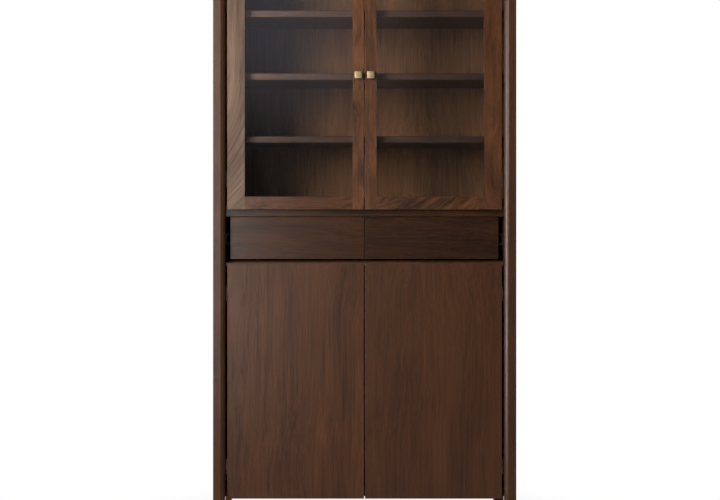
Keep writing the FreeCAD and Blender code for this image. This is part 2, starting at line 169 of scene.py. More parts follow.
# %% [markdown]
# The studio. Behind the cabinet the photograph is plain white, yet the panes mirror a dim room with a pale
# bluish wall to the upper left, and a little light comes from far to the right. A picture of a room could be
# wrapped around the scene, but a few ramps on a ray's direction are easier to change. Light Path tells the
# two apart: a camera ray meets white, as does one that gloss or glass sends to the back, and every other
# ray meets the room.

# %% Studio room
DIM_ROOM = (0.045, 0.045, 0.045, 1.0)
LIT_ROOM = (0.5, 0.5, 0.5, 1.0)
PALE_WALL = (0.41, 0.39, 0.46, 1.0)
WALL_FOOT = (0.03, 0.11)
WALL_SIDE = (-0.03, 0.06)
WALL_REMAINDER = 0.1
FILL_SIDE = (0.7, 0.95)
FILL_LEVEL = 0.5
ROOM_BACK = (-0.05, 0.15)


def shown_white(tree, behind):
    ray = tree.nodes.new("ShaderNodeLightPath").outputs
    mirrored = sum_of(tree, "MAXIMUM", ray["Is Glossy Ray"], ray["Is Transmission Ray"])
    return sum_of(tree, "MAXIMUM", ray["Is Camera Ray"], sum_of(tree, "MULTIPLY", mirrored, behind))


world = bpy.data.worlds.new("studio_room")
bpy.context.scene.world = world
world.use_nodes = True
room = world.node_tree
room.nodes.clear()
rightwards, backwards, upwards = parts_of(room, room.nodes.new("ShaderNodeTexCoord").outputs["Generated"])
wall_height = ramp_of(room, upwards, *WALL_FOOT)
wall = sum_of(room, "MULTIPLY", wall_height, ramp_of(room, rightwards, *WALL_SIDE, 1.0, WALL_REMAINDER))
fill_light = sum_of(room, "MULTIPLY", ramp_of(room, rightwards, *FILL_SIDE), FILL_LEVEL)
front_of_room = vector_of(room, "ADD", mix_of(room, wall, DIM_ROOM, PALE_WALL), fill_light)
behind = ramp_of(room, backwards, *ROOM_BACK)
whole_room = mix_of(room, behind, front_of_room, LIT_ROOM)
seen_room = mix_of(room, shown_white(room, behind), whole_room, WHITE)
background = put(room, "ShaderNodeBackground", Color=seen_room, Strength=1.0)
put(room, "ShaderNodeOutputWorld", Surface=background.outputs[0])
print("room nodes:", len(room.nodes))

# %% [markdown]
# The floor is a plain pale sheet. A lit one would turn grey where the photograph is white, so for the camera
# it glows white by itself. Close to the cabinet a part of it stays an ordinary matt surface, which keeps the
# shadow that the cabinet stands in.

# %% Floor
FLOOR_REACH = 14
FLOOR_COLOUR = (0.8, 0.8, 0.8, 1.0)
FLOOR_BACK = (0.0, 0.4)
SHADOW_REACH = (0.5, 0.95)
SHADOW_WHITENESS = 0.86


def blend_of(tree, share, first, second):
    node = tree.nodes.new("ShaderNodeMixShader")
    for socket, source in zip(node.inputs, (share, first.outputs[0], second.outputs[0])):
        feed(tree, source, socket)
    return node.outputs[0]


bpy.ops.object.select_all(action="DESELECT")
bpy.ops.mesh.primitive_plane_add(size=2 * FLOOR_REACH, location=(0, 0, 0))
floor = bpy.context.object
floor.name = "studio_floor"
floor_finish = bpy.data.materials.new("studio_floor")
floor_finish.use_nodes = True
tree = floor_finish.node_tree
tree.nodes.clear()
matt = put(tree, "ShaderNodeBsdfPrincipled", Base_Color=FLOOR_COLOUR, Roughness=0.9)
glow = put(tree, "ShaderNodeEmission", Color=WHITE, Strength=1.0)
spot = tree.nodes.new("ShaderNodeTexCoord").outputs["Object"]
behind = ramp_of(tree, parts_of(tree, spot)["Y"], *FLOOR_BACK)
away = vector_of(tree, "LENGTH", spot, outcome="Value")
whiteness = ramp_of(tree, away, *SHADOW_REACH, SHADOW_WHITENESS, 1.0)
glowing = sum_of(tree, "MULTIPLY", shown_white(tree, behind), whiteness)
put(tree, "ShaderNodeOutputMaterial", Surface=blend_of(tree, glowing, matt, glow))
floor.data.materials.append(floor_finish)
print("floor reaches", FLOOR_REACH, "m each way")

# %% [markdown]
# In the photograph a soft lamp stands to the left of the camera and leaves the left third of the inside in
# shadow. A sun lamp would draw hard edges, so a softbox does it, with a grid over it that keeps its light
# high, because the wood darkens towards the floor.

# %% Main lamp
KEY_AIM = Vector((0, -0.18, 1.7))


def softbox(name, azimuth, distance, height, width, tall, power, aim, spread=180):
    turn = math.radians(azimuth)
    place = Vector((aim.x + distance * math.sin(turn), aim.y - distance * math.cos(turn), height))
    lamp_data = bpy.data.lights.new(name, "AREA")
    lamp_data.shape = "RECTANGLE"
    lamp_data.size = width
    lamp_data.size_y = tall
    lamp_data.energy = power
    lamp_data.spread = math.radians(spread)
    lamp = bpy.data.objects.new(name, lamp_data)
    lamp.location = place
    lamp.rotation_euler = (aim - place).to_track_quat("-Z", "Y").to_euler()
    bpy.context.scene.collection.objects.link(lamp)
    return lamp


key_lamp = softbox("key_softbox", azimuth=-36.5, distance=2.8, height=1.75, width=1.0, tall=1.2,
                   power=26.5, aim=KEY_AIM, spread=110)
print("main lamp at", [round(part, 2) for part in key_lamp.location])

# %% [markdown]
# Two more softboxes give no diffuse light and only leave a sheen on the oiled wood: a narrow one beside the
# camera greys the left side, and one far to the left shows in the chamfer of the right post. Light linking
# makes them skip the shelves and panes, where they would draw a stripe that the photograph lacks, and the
# slides and hinges, which would glint in the gaps.

# %% Lamps for the sheen
SHEEN_AIM = Vector((0, -0.18, 1.2))
SHEEN_COLOUR = (1.0, 0.97, 0.97)
WITHOUT_SHEEN = ("display_shelf", "glass_pane", "slide", "hinge_arms", "hinge_mounting")

sheen_lamp = softbox("sheen_softbox", azimuth=-11.5, distance=4.0, height=1.2, width=0.3, tall=2.3,
                     power=28, aim=SHEEN_AIM)
sheen_lamp.data.color = SHEEN_COLOUR
chamfer_lamp = softbox("chamfer_softbox", azimuth=-80, distance=3.2, height=1.0, width=1.2, tall=2.0,
                       power=112, aim=SHEEN_AIM)
skipped = bpy.data.collections.new("without_sheen")
for name in nodes:
    if any(word in name for word in WITHOUT_SHEEN):
        skipped.objects.link(nodes[name])
for member in skipped.collection_objects:
    member.light_linking.link_state = "EXCLUDE"
for lamp in (sheen_lamp, chamfer_lamp):
    lamp.visible_diffuse = False
    lamp.light_linking.receiver_collection = skipped

# %% [markdown]
# Many pieces share an effect, such as the figure of the wood. It could be built again in every material,
# but a node group is built once and placed wherever it is needed, each time with its own values. One
# helper opens a group with named sockets, and another places it in a tree.

# %% Helpers for node groups
def new_group(name, inputs, outputs):
    group = bpy.data.node_groups.new(name, "ShaderNodeTree")
    for direction, sockets in (("INPUT", inputs), ("OUTPUT", outputs)):
        for socket, kind in sockets.items():
            group.interface.new_socket(socket, in_out=direction, socket_type="NodeSocket" + kind)
    return group, group.nodes.new("NodeGroupInput").outputs, group.nodes.new("NodeGroupOutput").inputs


def put_group(tree, group, **values):
    node = tree.nodes.new("ShaderNodeGroup")
    node.node_tree = group
    return fill(tree, node, values)


print("helpers for node groups are ready")

# %% [markdown]
# Walnut figure. The grain of a board follows the trunk, which never grew quite straight. A picture of wood
# would repeat from board to board, so the figure is made of noise instead. Each board enters the noise at
# its own place by a seed, and a slow noise swings the grain, which runs along Z, from side to side.

# %% Grain of the wood
MIDDLE = 0.5
FIGURE_GRAIN = 0.55
SEED_STRIDE = (0.37, 0.53, 1.71)
SWING_WAVES = (2.2, 1.3, 2.0)

wood, given, result = new_group(
    "wood_figure",
    {"Vector": "Vector", "Seed": "Float", "Swing": "Float", "Contrast": "Float", "Bands": "Float",
     "Clouds": "Float", "Dark": "Color", "Light": "Color"},
    {"Color": "Color", "Roughness": "Float", "Height": "Float"},
)


def noise_of(tree, vector, scale, detail, roughness=0.5):
    noise = put(tree, "ShaderNodeTexNoise", Vector=vector, Scale=scale, Detail=detail, Roughness=roughness)
    return noise.outputs["Fac"]


def stretched_noise(vector, waves):
    across, along, detail = waves
    place = vector_of(wood, "MULTIPLY", vector, (across, across, along))
    return noise_of(wood, place, 1.0, detail, FIGURE_GRAIN)


def about_zero(layer):
    return sum_of(wood, "SUBTRACT", layer, MIDDLE)


seed_shift = vector_of(wood, "MULTIPLY", given["Seed"], SEED_STRIDE)
start = vector_of(wood, "ADD", given["Vector"], seed_shift)
swing = sum_of(wood, "MULTIPLY", about_zero(stretched_noise(start, SWING_WAVES)), given["Swing"])
sideways = put(wood, "ShaderNodeCombineXYZ", X=swing, Y=swing)
grain = vector_of(wood, "ADD", start, sideways.outputs[0])
print("grain nodes:", len(wood.nodes))

# %% [markdown]
# A board shows broad bands and dark clouds where the tree grew light and dark, streaks and threads along the
# grain, hair-fine fibres and short dark pores. All are the same noise, stretched along the grain by
# different amounts: each layer says how many waves it has in a metre across the grain and along it, and how
# much detail. Bands and clouds differ most from board to board, so their shares come in from outside.

# %% Layers of the figure
BAND_WAVES = (9.0, 0.7, 2.0)
CLOUD_WAVES = (22.0, 6.0, 1.5)
STREAK_WAVES = (90.0, 2.6, 2.0)
THREAD_WAVES = (300.0, 5.0, 2.0)
FIBRE_WAVES = (700.0, 14.0, 2.0)
PORE_WAVES = (900.0, 26.0, 1.0)
PORE_EDGE = (0.60, 0.72)
STREAK_SHARE = 0.9
THREAD_SHARE = 1.3
FIBRE_SHARE = 0.5

fibres = stretched_noise(grain, FIBRE_WAVES)
pores = ramp_of(wood, stretched_noise(grain, PORE_WAVES), *PORE_EDGE)
layers = (
    (stretched_noise(grain, BAND_WAVES), given["Bands"]),
    (stretched_noise(grain, CLOUD_WAVES), given["Clouds"]),
    (stretched_noise(grain, STREAK_WAVES), STREAK_SHARE),
    (stretched_noise(grain, THREAD_WAVES), THREAD_SHARE),
    (fibres, FIBRE_SHARE),
)
figure = 0.0
for layer, share in layers:
    figure = sum_of(wood, "MULTIPLY_ADD", about_zero(layer), share, figure)
print("layers of the figure:", len(layers), "and the pores")

# %% [markdown]
# What comes out of the group: a colour between the dark and the light of the wood, with the pores darker; a
# roughness, because oil sinks into open pores and leaves them dull; and a height, in which the pores are
# fine grooves between the fibres.

# %% Colour, roughness and height of the wood
PORE_DARKNESS = -0.22
OIL_ROUGHNESS = 0.27
PORE_ROUGHNESS = 0.12
FIGURE_ROUGHNESS = -0.06
FIBRE_HEIGHT = 0.4

tone = sum_of(wood, "MULTIPLY_ADD", figure, given["Contrast"], MIDDLE)
tone = sum_of(wood, "MULTIPLY_ADD", pores, PORE_DARKNESS, tone)
feed(wood, mix_of(wood, tone, given["Dark"], given["Light"]), result["Color"])
dullness = sum_of(wood, "MULTIPLY_ADD", pores, PORE_ROUGHNESS, OIL_ROUGHNESS)
feed(wood, sum_of(wood, "MULTIPLY_ADD", figure, FIGURE_ROUGHNESS, dullness), result["Roughness"])
ridges = sum_of(wood, "MULTIPLY", fibres, FIBRE_HEIGHT)
feed(wood, sum_of(wood, "SUBTRACT", ridges, pores), result["Height"])
print("wood figure nodes:", len(wood.nodes))

# %% [markdown]
# Edges. Hands polish the arrises of a board over the years, and they turn a little paler. The paler line is
# also a painted highlight, the light that a rounded arris catches, so it is partly wear and partly painted
# light. They could be painted on each mesh, but a board is close to a plain box, so the group gets its lowest
# and highest corner and finds the points near two faces at once. A noise breaks the line, because wear is
# never even.

# %% Edge wear and painted highlight group
WEAR_AND_HIGHLIGHT_PATCH_EDGE = (0.3, 0.65)

edge, given, result = new_group(
    "edge_wear_and_highlight",
    {"Vector": "Vector", "Low": "Vector", "High": "Vector", "Width": "Float"},
    {"Wear And Highlight": "Float"},
)
from_low = vector_of(edge, "SUBTRACT", given["Vector"], given["Low"])
from_high = vector_of(edge, "SUBTRACT", given["High"], given["Vector"])
near_x, near_y, near_z = parts_of(edge, vector_of(edge, "MINIMUM", from_low, from_high))
smaller = sum_of(edge, "MINIMUM", near_x, near_y)
larger = sum_of(edge, "MAXIMUM", near_x, near_y)
second_nearest = sum_of(edge, "MAXIMUM", smaller, sum_of(edge, "MINIMUM", larger, near_z))
line = sum_of(edge, "SUBTRACT", 1.0, ramp_of(edge, second_nearest, 0.0, given["Width"]))
patches = noise_of(edge, given["Vector"], scale=38.0, detail=3.0)
broken = ramp_of(edge, patches, *WEAR_AND_HIGHLIGHT_PATCH_EDGE)
# the arrises: partly wear, partly a painted highlight
feed(edge, sum_of(edge, "MULTIPLY", line, broken), result["Wear And Highlight"])
print("edge wear nodes:", len(edge.nodes))

# %% [markdown]
# Veneer leaves. The back of the cabinet is covered with sheets of veneer laid side by side, every second one
# turned over like the pages of a book, so the figure mirrors at each seam. Separate sheets could be modelled,
# but they lie flush, so a group folds the place across the panel instead. It also gives a tone for each leaf
# and the fine dark line of the seam.

# %% Veneer leaf group
LEAF_TONE_STEP = 2.4
SEAM_SHARE = 0.008

leaves, given, result = new_group(
    "veneer_leaves",
    {"Across": "Float", "First Seam": "Float", "Leaf Width": "Float"},
    {"Across": "Float", "Tone": "Float", "Seam": "Float"},
)
from_seam = sum_of(leaves, "SUBTRACT", given["Across"], given["First Seam"])
count = sum_of(leaves, "DIVIDE", from_seam, given["Leaf Width"])
folded = sum_of(leaves, "PINGPONG", count, 1.0)
feed(leaves, sum_of(leaves, "MULTIPLY", folded, given["Leaf Width"]), result["Across"])
leaf_number = sum_of(leaves, "MULTIPLY", sum_of(leaves, "FLOOR", count), LEAF_TONE_STEP)
feed(leaves, sum_of(leaves, "SINE", leaf_number), result["Tone"])
part = sum_of(leaves, "FRACT", count)
to_seam = sum_of(leaves, "MINIMUM", part, sum_of(leaves, "SUBTRACT", 1.0, part))
feed(leaves, sum_of(leaves, "SUBTRACT", 1.0, ramp_of(leaves, to_seam, 0.0, SEAM_SHARE)), result["Seam"])
print("veneer leaf nodes:", len(leaves.nodes))

# %% [markdown]
# The chamfer around the front is planed by hand, so it isn't quite flat: it rolls over towards both of its
# edges, and a lamp shows on it as a soft line instead of an even stripe. The roll is too slight to model, so
# a group tilts the normal. It measures how far behind the front a point lies, turns the normal in step, and
# leaves every face alone that doesn't look half forwards and half inwards.

# %% Rolled chamfer group
FORWARDS = (0, -1, 0)
HALFWAY = math.radians(45)
# the product below is 1.41 where a face looks exactly halfway between inwards and forwards
LIKE_CHAMFER = (1.3, 1.4)

chamfer, given, result = new_group(
    "rolled_chamfer",
    {"Vector": "Vector", "Normal": "Vector", "Inwards": "Vector", "Front": "Float", "Width": "Float",
     "Roll": "Float"},
    {"Normal": "Vector"},
)
depth = sum_of(chamfer, "SUBTRACT", parts_of(chamfer, given["Vector"])["Y"], given["Front"])
from_middle = sum_of(chamfer, "SUBTRACT", MIDDLE, sum_of(chamfer, "DIVIDE", depth, given["Width"]))
angle = sum_of(chamfer, "MULTIPLY_ADD", from_middle, given["Roll"], HALFWAY)
inward_part = vector_of(chamfer, "MULTIPLY", given["Inwards"], sum_of(chamfer, "COSINE", angle))
forward_part = vector_of(chamfer, "MULTIPLY", FORWARDS, sum_of(chamfer, "SINE", angle))
tilted = vector_of(chamfer, "ADD", inward_part, forward_part)
between = vector_of(chamfer, "ADD", given["Inwards"], FORWARDS)
likeness = vector_of(chamfer, "DOT_PRODUCT", given["Normal"], between, outcome="Value")
change = vector_of(chamfer, "SUBTRACT", tilted, given["Normal"])
change = vector_of(chamfer, "MULTIPLY", change, ramp_of(chamfer, likeness, *LIKE_CHAMFER))
feed(chamfer, vector_of(chamfer, "ADD", given["Normal"], change), result["Normal"])
print("rolled chamfer nodes:", len(chamfer.nodes))

# %% [markdown]
# The chamfer runs up both front posts and along the top. Each of the three faces inwards another way, so
# that direction goes in with the board. A shader wants its normal in the world's own directions, so the
# tilted normal is turned into those at the end.

# %% Rolled normal of a board
CHAMFERED = {"front_post_left": (1, 0, 0), "front_post_right": (-1, 0, 0), "top_board": (0, 0, -1)}
CHAMFER_WIDTH = 13 * MM
CHAMFER_ROLL = math.radians(38)


def rolled_normal(tree, point, name):
    flat_normal = tree.nodes.new("ShaderNodeTexCoord").outputs["Normal"]
    rolled = put_group(tree, chamfer, Vector=point, Normal=flat_normal, Inwards=CHAMFERED[name],
                       Front=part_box(name)[0].y, Width=CHAMFER_WIDTH, Roll=CHAMFER_ROLL)
    to_world = put(tree, "ShaderNodeVectorTransform", Vector=rolled.outputs["Normal"])
    to_world.vector_type = "NORMAL"
    to_world.convert_from = "OBJECT"
    to_world.convert_to = "WORLD"
    return to_world.outputs[0]


print("chamfered boards:", sorted(CHAMFERED))

# %% [markdown]
# A finish starts as a new material with its Principled shader and the place of a point on the piece. The
# other helpers put it on a piece instead of the plain material, and make a shade lighter or darker.

# %% Helpers for finishes
def principled(name):
    finish = bpy.data.materials.new(name)
    finish.use_nodes = True
    tree = finish.node_tree
    point = tree.nodes.new("ShaderNodeTexCoord").outputs["Object"]
    return finish, tree, tree.nodes["Principled BSDF"], point


def coat(piece, finish):
    piece.data.materials.clear()
    piece.data.materials.append(finish)


def toned(shade, factor):
    return tuple(part * factor for part in shade[:3]) + (1.0,)


print("helpers for finishes are ready")

# %% [markdown]
# On the back panels the figure follows the leaves of veneer. A leaf's tone and seam change the colour a
# little, and the outside of the panel is darker than the inside. Two materials could do the two sides, but a
# panel is one board with one slot, so the middle of its thickness tells them apart.

# %% Veneer on the back panels
FIRST_SEAM = -151 * MM
LEAF_WIDTH = 325 * MM
LEAF_TONE = 0.09
SEAM_TONE = -0.2
OUTER_LEVEL = 0.47


def laid_as_veneer(tree, point):
    across, deep, up = parts_of(tree, point)
    leaf = put_group(tree, leaves, Across=across, First_Seam=FIRST_SEAM, Leaf_Width=LEAF_WIDTH)
    place = put(tree, "ShaderNodeCombineXYZ", X=leaf.outputs["Across"], Y=deep, Z=up)
    return leaf, place.outputs[0]


def veneer_level(tree, point, leaf, low, high):
    level = sum_of(tree, "MULTIPLY_ADD", leaf.outputs["Tone"], LEAF_TONE, 1.0)
    level = sum_of(tree, "MULTIPLY_ADD", leaf.outputs["Seam"], SEAM_TONE, level)
    middle = (low.y + high.y) / 2
    outside = ramp_of(tree, parts_of(tree, point)["Y"], middle, middle + MM, 1.0, OUTER_LEVEL)
    return sum_of(tree, "MULTIPLY", level, outside)


print("leaves of veneer are", round(LEAF_WIDTH / MM), "mm wide")

# %% [markdown]
# Grain that leans. On one stile the grain stands upright at the top and runs off to the side further down,
# as it does where a branch left the trunk. The board could be turned as a whole, but then the top would lean
# too, so points are pushed sideways by the square of how far they lie below the start.

# %% Leaning grain
LEAN_START = 1.36


def leaning(tree, point, bend):
    below = sum_of(tree, "SUBTRACT", LEAN_START, parts_of(tree, point)["Z"])
    below = sum_of(tree, "MAXIMUM", below, 0.0)
    push = sum_of(tree, "MULTIPLY", sum_of(tree, "MULTIPLY", below, below), bend)
    return vector_of(tree, "ADD", point, put(tree, "ShaderNodeCombineXYZ", X=push).outputs[0])


print("the grain leans below", LEAN_START, "m")

# %% [markdown]
# Painted sheen and shade on the shelves. The edges of the display shelves look pale and grey at the left
# end, where the light falls, and dark at the right. A lamp for them alone would also light the back, so
# their colour is painted along the board instead: a ramp blends a pale grey tint into the left end as
# painted sheen, and another a darker tint into the right end as painted shade.

# %% Painted sheen and shade along the shelves
# painted sheen for the left end of a shelf, and painted shade for its right end
PAINTED_SHEEN_TINT = (1.0, 1.2, 1.45, 1.0)
PAINTED_SHADE_TINT = (1.0, 0.80, 0.62, 1.0)
PAINTED_SHEEN_REACH = (-0.37, -0.20)
PAINTED_SHADE_REACH = (0.08, 0.20)


# paints sheen into the left end of a board and shade into its right end
def with_painted_sheen_and_shade(tree, point, face, sheen_end, shade_end):
    along = parts_of(tree, point)["X"]
    left = mix_of(tree, ramp_of(tree, along, *PAINTED_SHEEN_REACH), toned(PAINTED_SHEEN_TINT, sheen_end), WHITE)
    right = mix_of(tree, ramp_of(tree, along, *PAINTED_SHADE_REACH), WHITE, toned(PAINTED_SHADE_TINT, shade_end))
    return vector_of(tree, "MULTIPLY", vector_of(tree, "MULTIPLY", face, left), right)


print("the colour stays even from", PAINTED_SHEEN_REACH[1], "to", PAINTED_SHADE_REACH[0], "m")

# %% [markdown]
# A board is the figure group, turned so that the grain runs the right way, under an oil finish: satin on
# upright boards, polished on those that lie across, rubbed on the display shelves and under the drawers, and
# matt inside and on the top. Each finish is a step in roughness and a level of reflection. That level is the
# same all over a board, so it is set on the shader itself.

# %% Finish of a board
TURNS = {
    "up": (0, 0, 0),
    "across": (0, math.radians(90), 0),
    "deep": (math.radians(90), 0, 0),
    "rising": (0, math.radians(125), 0),
}
OIL = {"satin": (0.0, 0.22), "polished": (-0.05, 0.22), "rubbed": (0.08, 0.50), "matt": (0.25, 0.12)}
WEAR_AND_HIGHLIGHT_WIDTH = 1.6 * MM
WEAR_AND_HIGHLIGHT_STRENGTH = 0.25
WEAR_AND_HIGHLIGHT_PALENESS = 1.25


def board_finish(name, turn, seed, dark, light, swing, contrast, oil, bend=0.0, bands=0.25, clouds=1.1,
                 painted_sheen_and_shade=None):
    finish, tree, shader, point = principled("wood_" + name)
    low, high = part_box(name)
    veneered = name.startswith("back_panel")
    place = leaning(tree, point, bend) if bend else point
    if veneered:
        leaf, place = laid_as_veneer(tree, point)
    turned = put(tree, "ShaderNodeMapping", Vector=place, Rotation=TURNS[turn])
    board = put_group(tree, wood, Vector=turned.outputs[0], Seed=seed, Swing=swing, Contrast=contrast,
                      Bands=bands, Clouds=clouds, Dark=dark, Light=light).outputs
    face = board["Color"]
    if veneered:
        face = vector_of(tree, "MULTIPLY", face, veneer_level(tree, point, leaf, low, high))
    # painted sheen and shade along the display shelves
    if painted_sheen_and_shade:
        face = with_painted_sheen_and_shade(tree, point, face, *painted_sheen_and_shade)
    # arrises painted paler: partly wear, partly a painted highlight
    wear_and_highlight = put_group(tree, edge, Vector=point, Low=low, High=high, Width=WEAR_AND_HIGHLIGHT_WIDTH).outputs["Wear And Highlight"]
    wear_and_highlight_share = sum_of(tree, "MULTIPLY", wear_and_highlight, WEAR_AND_HIGHLIGHT_STRENGTH)
    bump = put(tree, "ShaderNodeBump", Strength=0.25, Distance=0.3 * MM, Height=board["Height"])
    if name in CHAMFERED:
        feed(tree, rolled_normal(tree, point, name), bump.inputs["Normal"])
    rougher, shine = OIL[oil]
    fill(tree, shader, {
        "Base Color": mix_of(tree, wear_and_highlight_share, face, toned(light, WEAR_AND_HIGHLIGHT_PALENESS)),
        "Roughness": sum_of(tree, "ADD", board["Roughness"], rougher),
        "Normal": bump.outputs[0],
        "Specular IOR Level": shine,
    })
    return finish


print("grain turns:", sorted(TURNS), "oil finishes:", sorted(OIL))

# %% [markdown]
# No two boards in a real cabinet match. Posts, stiles, doors and panels stand with their grain upright, and
# rails, shelves and drawer fronts lie across, apart from one rail whose grain rises. Each board has a tone,
# which is how light or dark it is beside plain walnut: one walnut all over would look like a printed sheet.
# The low tones of the drawer fronts and the rail above them also hold painted shade.

# %% Walnut boards
WALNUT_DARK = colour(49, 27, 10)
WALNUT_LIGHT = colour(105, 65, 37)
BOARDS = {
    "front_post_left": ("up", 1.00),
    "front_post_right": ("up", 0.87),
    "rear_post_left": ("up", 1.00),
    "rear_post_right": ("up", 1.00),
    "side_panel_left": ("up", 1.00),
    "side_panel_right": ("up", 1.00),
    "side_rails_left": ("deep", 1.00),
    "side_rails_right": ("deep", 1.00),
    "top_board": ("across", 1.00),
    "base_panel": ("across", 1.00),
    "drawer_floor": ("across", 0.98),
    "display_floor": ("across", 1.00),
    # darker tone: painted shade that the glass doors above cast on the rail
    "drawer_top_rail": ("across", 0.60),
    "drawer_partition": ("up", 1.00),
    "display_shelf_1": ("across", 0.48),
    "display_shelf_2": ("across", 0.62),
    "display_shelf_3": ("across", 0.70),
    "cupboard_shelf": ("across", 1.00),
    "back_panel_lower": ("up", 1.00),
    "back_panel_upper": ("up", 1.00),
    "lower_door_left_panel": ("up", 1.04),
    "lower_door_right_panel": ("up", 0.98),
    # darker tones: partly darker wood, partly painted shade of the recess; the right front darker still as
    # painted shade
    "drawer_left_front": ("across", 0.60),
    "drawer_right_front": ("across", 0.42),
    "glass_door_left_hinge_stile": ("up", 1.00),
    "glass_door_left_meeting_stile": ("up", 1.42),
    "glass_door_right_hinge_stile": ("up", 1.14),
    "glass_door_right_meeting_stile": ("up", 1.05),
    "glass_door_left_top_rail": ("across", 1.00),
    "glass_door_right_top_rail": ("across", 1.00),
    "glass_door_left_bottom_rail": ("across", 1.00),
    "glass_door_right_bottom_rail": ("rising", 1.05),
    "glass_door_left_glazing_beads": ("up", 0.95),
    "glass_door_right_glazing_beads": ("up", 0.95),
}
print("walnut boards:", len(BOARDS))

# %% [markdown]
# The frames of the glass doors are cut from lively wood, and the rest from quiet wood with straight grain.
# Some boards stand out from that. The left hinge stile is tan sapwood with leaning grain, the veneer of the
# back is paler than solid walnut, the posts are the quietest, the display shelves carry painted sheen and
# shade along their length, the lower doors show bands more than clouds, and the left meeting stile is
# cloudy. Their values replace the usual ones.

# %% Boards that stand out
LIVELY = {"swing": 0.3, "contrast": 1.9}
QUIET = {"swing": 0.12, "contrast": 0.9}
POST = {"contrast": 0.5}
VENEER = {"dark": colour(70, 46, 25), "light": colour(150, 101, 66), "contrast": 0.6}
SAPWOOD = {"dark": colour(69, 46, 30), "light": colour(137, 106, 81)}
BANDED = {"bands": 1.2, "clouds": 0.5}
OWN_LOOKS = {
    "front_post_left": POST,
    "front_post_right": POST,
    "back_panel_lower": VENEER,
    "back_panel_upper": VENEER,
    # painted sheen at the left end and painted shade at the right end of each shelf
    "display_shelf_1": {"painted_sheen_and_shade": (1.55, 0.66)},
    "display_shelf_2": {"painted_sheen_and_shade": (2.8, 0.60)},
    "display_shelf_3": {"painted_sheen_and_shade": (2.4, 0.64)},
    "lower_door_left_panel": {**BANDED, "contrast": 0.85},
    "lower_door_right_panel": {**BANDED, "contrast": 0.6},
    "glass_door_left_hinge_stile": {**SAPWOOD, "swing": 0.06, "contrast": 1.1, "bend": 1.3},
    "glass_door_left_meeting_stile": {"contrast": 1.2, "clouds": 2.6, "seed": 63.1},
    "glass_door_right_hinge_stile": {"contrast": 1.0},
    "glass_door_right_meeting_stile": {"contrast": 1.5},
    "glass_door_left_bottom_rail": {"contrast": 1.4},
}
print("boards that stand out:", len(OWN_LOOKS))

# %% [markdown]
# Now every board gets its finish. A test for each board would make a long loop, so its look is put together
# in layers: what all walnut has, then lively or quiet wood, then what is special to the board.

# %% Dress the walnut boards
FIRST_SEED = 0.3
SEED_STEP = 1.7
INSIDE = ("back_panel", "base_panel", "display_floor", "partition", "beads", "top_board")


def oil_of(name, turn):
    if name.startswith("display_shelf") or name == "drawer_floor":
        return "rubbed"
    if any(word in name for word in INSIDE):
        return "matt"
    return "polished" if turn == "across" else "satin"


for number, (name, (turn, tone)) in enumerate(BOARDS.items()):
    look = {
        "seed": SEED_STEP * number + FIRST_SEED,
        "dark": toned(WALNUT_DARK, tone),
        "light": toned(WALNUT_LIGHT, tone),
        "oil": oil_of(name, turn),
    }
    framing = name.startswith("glass_door") and name.endswith(("stile", "rail"))
    look.update(LIVELY if framing else QUIET)
    look.update(OWN_LOOKS.get(name, {}))
    coat(nodes[name], board_finish(name, turn, **look))
print("boards dressed:", len(BOARDS))

# %% [markdown]
# The drawer boxes are a plain pale wood, planed and left without stain, as the hidden parts of a drawer are.
# They take the same figure group as the walnut, with pale colours and hardly any swing.

# %% Drawer boxes
PALE = {"dark": colour(176, 142, 104), "light": colour(222, 192, 152), "swing": 0.03, "contrast": 0.8}
FIRST_PALE_SEED = 70
PALE_SEED_STEP = 2.3
PALE_PIECES = ("drawer_left_box", "drawer_right_box", "drawer_left_bottom", "drawer_right_bottom")

for number, name in enumerate(PALE_PIECES):
    seed = PALE_SEED_STEP * number + FIRST_PALE_SEED
    coat(nodes[name], board_finish(name, "deep", seed=seed, oil="satin", **PALE))
print("pale drawer pieces:", len(PALE_PIECES))

# %% [markdown]
# Glass. A pane is a real sheet with a faint green tint in its body, and fingers leave a trace of haze on it.
# Full transmission would be enough for the look, but a path tracer sends lamp light through clear glass only
# by luck, and the shelves would stay dark. So rays that carry a lamp's light meet a transparent shader, and
# only what the eye follows meets the glass.

# %% Glass panes
GLASS_TINT = (0.93, 0.96, 0.95, 1.0)
GLASS_PALE = (0.96, 0.98, 0.97, 1.0)
GLASS_SHADOW = (0.93, 0.95, 0.94, 1.0)
HAZE_EDGE = (0.45, 0.75)
HAZE_ROUGHNESS = 0.03

pane_finish, tree, shader, point = principled("clear_glass")
haze = noise_of(tree, point, scale=9.0, detail=4.0)
fill(tree, shader, {
    "Base Color": mix_of(tree, haze, GLASS_TINT, GLASS_PALE),
    "Roughness": ramp_of(tree, haze, *HAZE_EDGE, 0.0, HAZE_ROUGHNESS),
    "Transmission Weight": 1.0,
    "IOR": 1.5,
})
clear = put(tree, "ShaderNodeBsdfTransparent", Color=GLASS_SHADOW)
ray = tree.nodes.new("ShaderNodeLightPath").outputs
passing = sum_of(tree, "MAXIMUM", ray["Is Shadow Ray"], ray["Is Diffuse Ray"])
feed(tree, blend_of(tree, passing, shader, clear), tree.nodes["Material Output"].inputs["Surface"])
for side in ("left", "right"):
    coat(nodes[f"glass_door_{side}_glass_pane"], pane_finish)
print("glass nodes:", len(tree.nodes))

# %% [markdown]
# Metals. Brass, nickel and zinc are the same idea in other colours: a metal whose surface carries fine drawn
# lines and soft clouds of tarnish. A single colour would look like plastic, so one group makes the lines and
# clouds, and each metal uses it with its own colours and its own gloss.

# %% Metal surface group
DRAWN_LINES = (2600.0, 2600.0, 90.0)
DRAWN_ROUGHNESS = 0.12
TARNISH_EDGE = (0.35, 0.68)
TARNISH_ROUGHNESS = 0.08

